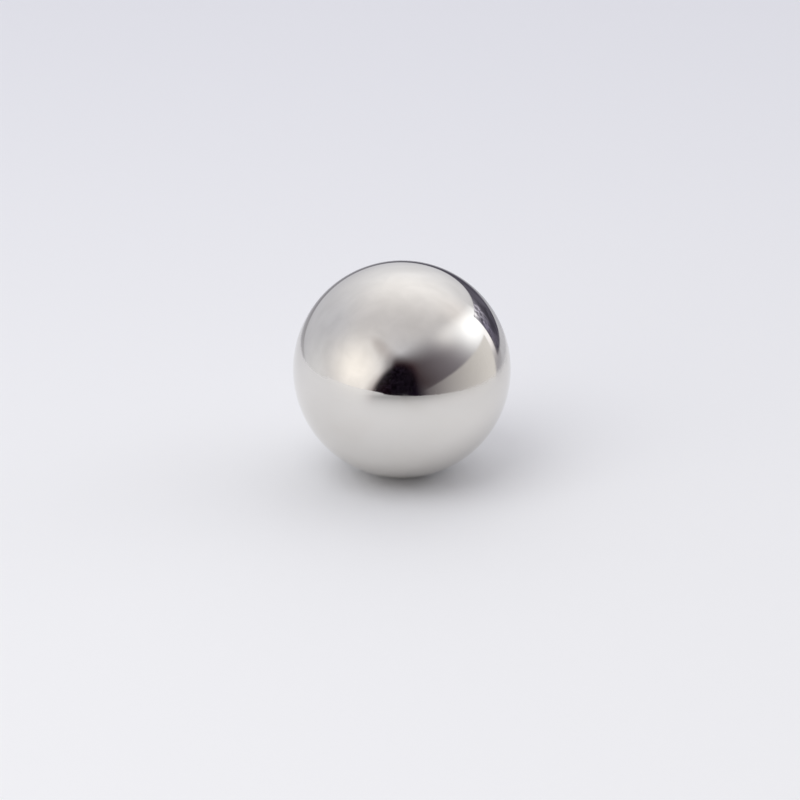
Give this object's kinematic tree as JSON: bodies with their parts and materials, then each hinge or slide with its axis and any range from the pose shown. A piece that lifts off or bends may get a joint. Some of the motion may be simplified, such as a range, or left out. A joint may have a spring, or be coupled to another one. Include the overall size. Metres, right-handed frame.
{
  "type": "sphere magnet",
  "caption": "Polished nickel-plated ball magnet, magnetised through its diameter, that clings to steel or to another magnet at either pole.",
  "frame": {"origin": "centre of the ball", "axes": "+Z along the magnetised diameter, with the north pole up; +X and +Y lie on the ball's equator, and nothing marks them"},
  "size_m": [0.019, 0.019, 0.019],
  "materials": {
    "nickel_plating": "bright nickel plating, polished to a mirror"
  },
  "bodies": {
    "root": {"magnet_ball": "nickel_plating"}
  },
  "joints": []
}
